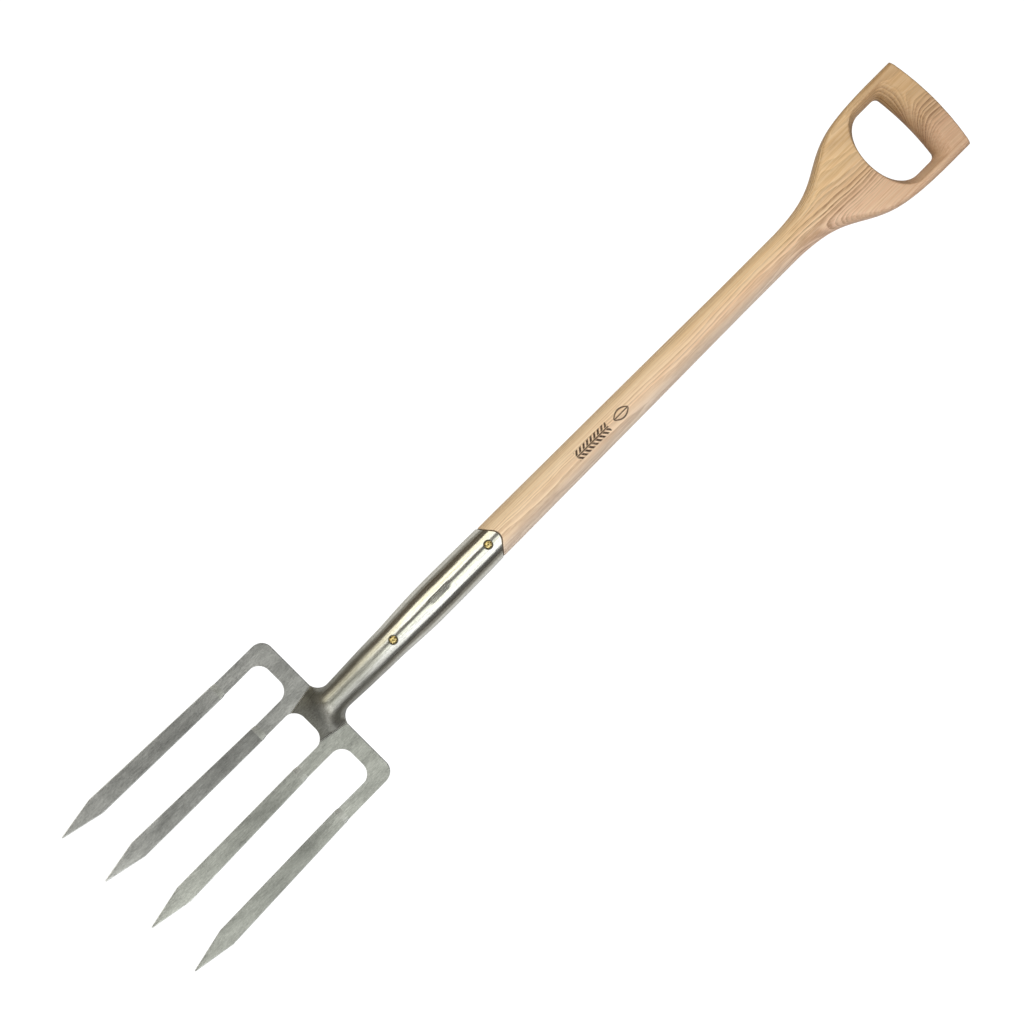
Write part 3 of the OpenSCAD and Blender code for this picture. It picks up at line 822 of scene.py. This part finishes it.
# ---------------------------------------------------------------- head
def curved_plate(name, outline, replaced, materials, bevel=0.8, lift=0.0, grind=False):
    """A plate of the head: a plan outline given the head's curve and taper, with its edges eased."""
    bm = prism(outline, -1, 1)
    xs = [p[0] for p in outline]
    for x in np.arange(min(xs) + 4, max(xs) - 1, 6.0):
        bmesh.ops.bisect_plane(bm, geom=bm.verts[:] + bm.edges[:] + bm.faces[:], dist=1e-4,
                               plane_co=(float(x), 0, 0), plane_no=(1, 0, 0))
    bmesh.ops.dissolve_degenerate(bm, dist=1e-4, edges=bm.edges)
    rim = [e for e in bm.edges if len(e.link_faces) == 2
           and len({abs(f.normal.z) > 0.5 for f in e.link_faces}) == 2]
    top = {v for v in bm.verts if v.co.z > 0}
    for v in bm.verts:
        x = v.co.x
        low = back_z(x) - lift
        if grind and x < POINT_X:
            share = (POINT_X - x) / (POINT_X - TIP_X)
            low = max(low, mix(back_z(POINT_X), front_z(TIP_X) - TIP_T, share))
        v.co.z = front_z(x) + lift if v in top else low
    bmesh.ops.bevel(bm, geom=rim, offset=bevel, offset_type="OFFSET", segments=2, profile=0.6,
                    affect="EDGES", clamp_overlap=True)
    piece = make_object(name, bm, replaced, materials)
    soften(piece, 40)
    weighted = piece.modifiers.new("flat faces", "WEIGHTED_NORMAL")
    weighted.keep_sharp = True
    weighted.weight = 100
    apply_modifiers(piece)
    return piece


def yoke_outline(side):
    """Plan of one yoke, anticlockwise on the left side of the tool."""
    edge = OUTER_Y + STUB_W / 2
    corner = HEAD_HALF - SHOULDER_R
    outer_middle = INNER_Y + (SLOT_W + STUB_W) / 2
    top = HEAD_X - OUTER_SLOT_AT
    centre_top = HEAD_X - CENTRE_SLOT_AT
    # where the foot's weld seam meets the centre slot's round corner
    cx, cy = centre_top - SLOT_R, SLOT_W / 2 - SLOT_R
    start = 90.0
    for step in range(900):
        a = math.radians(step / 10)
        px, py = cx + SLOT_R * math.cos(a), cy + SLOT_R * math.sin(a)
        if py >= foot_edge(px, FOOT_WELD_W):
            start = step / 10
            break
    points = arc(HEAD_X - SHOULDER_R, corner, SHOULDER_R, 0, 90, 14)
    points += [(WELD_X, edge), (WELD_X, edge - STUB_W)]
    points += slot_end(top, outer_middle, SLOT_W / 2 - SLOT_R)
    points += [(WELD_X, INNER_Y + STUB_W / 2), (WELD_X, INNER_Y - STUB_W / 2)]
    points += arc(cx, cy, SLOT_R, 90, start, 10)
    points.append((HEAD_X, foot_edge(HEAD_X, FOOT_WELD_W)))
    return [(px, side * py) for px, py in points]


def tine_outline(side, root_y, lean):
    end_y = root_y + lean * (TINE_X - POINT_X) / (TINE_X - TIP_X)
    tip_y = root_y + lean
    points = [(TINE_X, root_y + TINE_ROOT_W / 2), (POINT_X, end_y + TINE_END_W / 2),
              (TIP_X, tip_y + TIP_W / 2), (TIP_X, tip_y - TIP_W / 2),
              (POINT_X, end_y - TINE_END_W / 2), (TINE_X, root_y - TINE_ROOT_W / 2)]
    return [(px, side * py) for px, py in points]


def build_head(steels):
    for side, name in ((1, "left"), (-1, "right")):
        curved_plate(name + "_yoke_plate", yoke_outline(side), name + "_yoke",
                     [steels[name + "_yoke"]])
        for row, root_y, lean in (("outer", OUTER_Y, OUTER_LEAN), ("inner", INNER_Y, INNER_LEAN)):
            node = row + "_" + name + "_tine"
            curved_plate(node + "_blade", tine_outline(side, root_y, lean), node,
                         [steels[node]], grind=True)


def build_welds(seam, ground):
    bm = bmesh.new()
    for side in (1, -1):
        for y in (INNER_Y, OUTER_Y):
            rings = []
            steps = 24
            for i in range(9):
                x = mix(TINE_X - 1.1, WELD_X + 1.1, i / 8)
                share = min(1.0, max(0.0, (x - TINE_X) / (WELD_X - TINE_X)))
                half = mix(TINE_ROOT_W, STUB_W, smooth(share)) / 2 - 0.04
                thick = (front_z(x) - back_z(x)) / 2 + 0.02
                middle = (front_z(x) + back_z(x)) / 2
                corner = min(0.9, thick / 2)
                outline = []
                for sy, sz, start in ((1, 1, 0), (-1, 1, 90), (-1, -1, 180), (1, -1, 270)):
                    outline += arc(sy * (half - corner), sz * (thick - corner), corner, start, start + 90, 5)
                rings.append([(x, side * y + py, middle + pz) for py, pz in outline])
            loft(bm, rings)
    tine_welds = make_object("tine_root_welds", bm, "tine_welds", [ground])
    soften(tine_welds, 50)

    bm = bmesh.new()
    for side in (1, -1):
        rings = []
        for i in range(61):
            x = mix(HEAD_X - 0.3, FOOT_END_X - 8.0, i / 60)
            middle = foot_edge(x, FOOT_WELD_W / 2)
            ripple = 0.10 * math.sin(x * 2.6)
            ring = []
            for k in range(16):
                a = 2 * math.pi * (k + 0.5) / 16
                py = middle + (FOOT_WELD_W / 2 + 0.1) * math.cos(a)
                thick = (front_z(x) - back_z(x)) / 2 + 0.3 + ripple
                c = math.sin(a)
                pz = (front_z(x) + back_z(x)) / 2 + thick * math.copysign(abs(c) ** 0.3, c)
                ring.append((x, side * py, max(pz, back_z(x) + 0.02)))
            rings.append(ring)
        loft(bm, rings)
    foot_welds = make_object("foot_weld_seams", bm, "foot_welds", [seam])
    cut_away(foot_welds, [centre_slot()])
    soften(foot_welds, 60)


# ---------------------------------------------------------------- rivets
def build_rivet(name, x, replaced, material):
    r = socket_radius(x)
    floor = r - RECESS_DEPTH
    dome_r = 6.0
    top = r + 0.1
    cap = [(RIVET_HEAD_R * k / 8, top - dome_r + math.sqrt(dome_r ** 2 - (RIVET_HEAD_R * k / 8) ** 2))
           for k in range(8, 0, -1)]
    half = [(RIVET_R, floor), (RIVET_HEAD_R, floor)] + cap + [(0.05, top)]
    profile = [(pr, -pz) for pr, pz in reversed(half)] + half
    bm = rivet_profile_solid(x, profile)
    for v in bm.verts:
        if abs(v.co.z - AXIS_Z) > floor + 0.3:
            v.co.z += 0.12 * noise.noise(Vector((v.co.x * 0.5, v.co.y * 0.5, v.co.z * 0.1)))
    rivet = make_object(name, bm, replaced, [material])
    soften(rivet, 50)


# ---------------------------------------------------------------- stage
def build_floor():
    """A pale floor that lights the tool from below and looks white, with a painted pool of light round the
    tool: darker away from it.
    """
    bm = bmesh.new()
    bmesh.ops.create_grid(bm, x_segments=1, y_segments=1, size=FLOOR_HALF)
    mesh = bpy.data.meshes.new("floor")
    bm.to_mesh(mesh)
    bm.free()
    floor = bpy.data.objects.new("floor", mesh)
    floor.location.z = FLOOR_Z
    bpy.context.collection.objects.link(floor)
    g = Graph("pale_floor", "ShaderNodeMixShader")
    # painted pool of light: the floor is paler within 70 mm of the tool's axis than beyond 120 mm
    away = g.span(g.math("ABSOLUTE", g.axes(g.place())[1]), 70.0, 120.0)
    grey = g.blend(away, (0.74, 0.74, 0.77), (0.30, 0.29, 0.28))
    diffuse = g.node("ShaderNodeBsdfDiffuse", {"Color": grey})
    glow = g.node("ShaderNodeEmission", {"Color": (1.0, 1.0, 1.0, 1.0), "Strength": 1.1})
    seen = g.node("ShaderNodeLightPath").outputs["Is Camera Ray"]
    for index, value in enumerate((seen, diffuse.outputs[0], glow.outputs[0])):
        g.put(g.shader.inputs[index], value)
    mesh.materials.append(g.material)


def build_world():
    """Dim studio light, brighter from above, warm on the left and cool on the right, and a white backdrop."""
    world = bpy.data.worlds.new("studio")
    bpy.context.scene.world = world
    world.use_nodes = True
    g = Nodes(world.node_tree)
    _, side, height = g.axes(g.node("ShaderNodeTexCoord").outputs["Generated"])
    light = g.ramp(height, [(0.0, (0.10, 0.09, 0.075)), (1.0, (0.16, 0.165, 0.17))])
    tint = g.ramp(g.span(side, -0.5, 0.5), [(0.0, (1.0, 1.02, 1.08)), (1.0, (1.05, 0.93, 0.78))])
    seen = g.node("ShaderNodeLightPath").outputs["Is Camera Ray"]
    back = world.node_tree.nodes["Background"]
    g.put(back.inputs["Color"], g.blend(seen, g.times(light, tint), (1.0, 1.0, 1.0)))
    g.put(back.inputs["Strength"], 1.0)


def area_lamp(name, width, height, radiance, colour, place, target):
    """A rectangular lamp that faces the target and looks as bright as its radiance, in metres."""
    light = bpy.data.lights.new(name, "AREA")
    light.shape = "RECTANGLE"
    light.size, light.size_y = width, height
    light.energy = radiance * math.pi * light.size * light.size_y
    light.color = colour
    lamp = bpy.data.objects.new(name, light)
    lamp.location = place
    lamp.rotation_euler = (Vector(target) - Vector(place)).to_track_quat("-Z", "Y").to_euler()
    bpy.context.collection.objects.link(lamp)


def softbox(name, inner, outer, radiance, colour, low_x):
    """A long lamp beside the tool, between two angles in degrees from the vertical (+ is left)."""
    middle = math.radians((inner + outer) / 2)
    width = 2 * SOFTBOX_AWAY * math.tan(math.radians(abs(outer - inner) / 2))
    x = (low_x + SOFTBOX_HIGH_X) / 2
    place = (x, SOFTBOX_AWAY * math.sin(middle), SOFTBOX_AWAY * math.cos(middle))
    area_lamp(name, SOFTBOX_HIGH_X - low_x, width, radiance, colour, place, (x, 0, 0))


def build_lamps():
    softbox("left_inner_softbox", 17, 27, 1.6, (0.98, 1.0, 0.97), -1.7)
    softbox("left_outer_softbox", 27, 55, 1.4, (1.0, 0.96, 0.78), -2.6)
    softbox("right_inner_softbox", -3, -19, 1.25, (0.97, 1.0, 0.90), -3.0)
    softbox("right_outer_softbox", -19, -54, 1.4, (0.96, 0.98, 1.0), -3.0)
    # beyond the points, so that it shows in the slope of the foot
    area_lamp("end_panel", 2.4, 1.6, 1.6, (1.0, 1.0, 1.0), (-3.2, -0.9, 1.3), (HEAD_X * MM, 0, 0))


def build_camera():
    """Straight above the fork, turned so that the fork runs from corner to corner."""
    camera = bpy.data.cameras.new("camera")
    camera.sensor_width = SENSOR_W
    camera.lens = SENSOR_W * (CAMERA_AT[2] - FOCUS_Z) / FRAME_W
    camera.clip_end = 20
    obj = bpy.data.objects.new("camera", camera)
    obj.location = CAMERA_AT
    obj.rotation_euler = (0, 0, CAMERA_TURN)
    bpy.context.collection.objects.link(obj)
    bpy.context.scene.camera = obj


# ---------------------------------------------------------------- build
build_camera()
bpy.context.scene.view_settings.view_transform = "Standard"
build_floor()
build_world()
build_lamps()
build_handle(ash_wood())
build_socket(forged_steel())
build_head({name: ground_steel(name + "_steel", tones, PAINTED_LAMP_TINTS["left" if "left" in name else "right"])
            for name, tones in PLATE_TONES_AND_PAINTED_REFLECTIONS.items()})
build_welds(weld_metal(), ground_steel("tine_weld_steel", (0.41,) * 4))
BRASS = hammered_brass()
build_rivet("upper_brass_rivet", RIVET_X[0], "upper_rivet", BRASS)
build_rivet("lower_brass_rivet", RIVET_X[1], "lower_rivet", BRASS)
